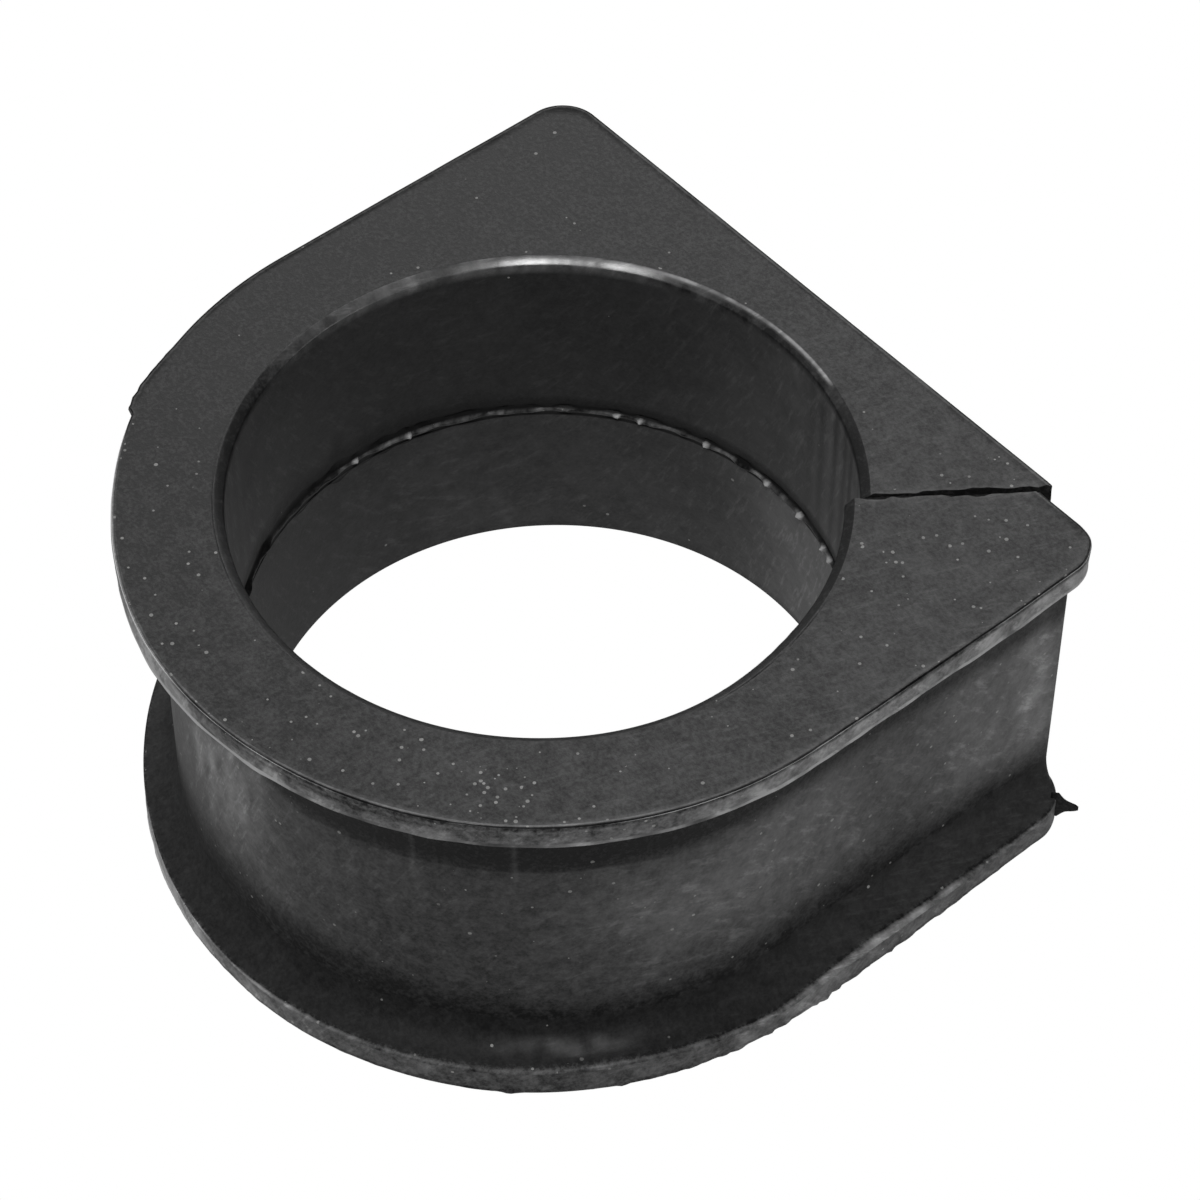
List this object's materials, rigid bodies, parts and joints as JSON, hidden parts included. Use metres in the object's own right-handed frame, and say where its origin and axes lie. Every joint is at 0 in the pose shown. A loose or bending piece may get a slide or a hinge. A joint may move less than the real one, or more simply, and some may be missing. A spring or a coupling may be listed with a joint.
{
  "type": "steering rack bushing",
  "caption": "Moulded rubber bushing with a round bore, end flanges, a flat seat and a slit beside it, clamped in a bracket to carry a steering rack's tube.",
  "frame": {"origin": "on the lower end face, under the middle of the outline", "axes": "+Z along the bore, from the thicker end flange to the thinner one; +Y out of the flat seat, so the rounded nose is at -Y; the slit leaves the bore towards +X and +Y"},
  "size_m": [0.0668, 0.0648, 0.034],
  "materials": {
    "rubber": "dull moulded black with a grey bloom"
  },
  "bodies": {
    "root": {"rubber_bushing": "rubber"}
  },
  "joints": []
}
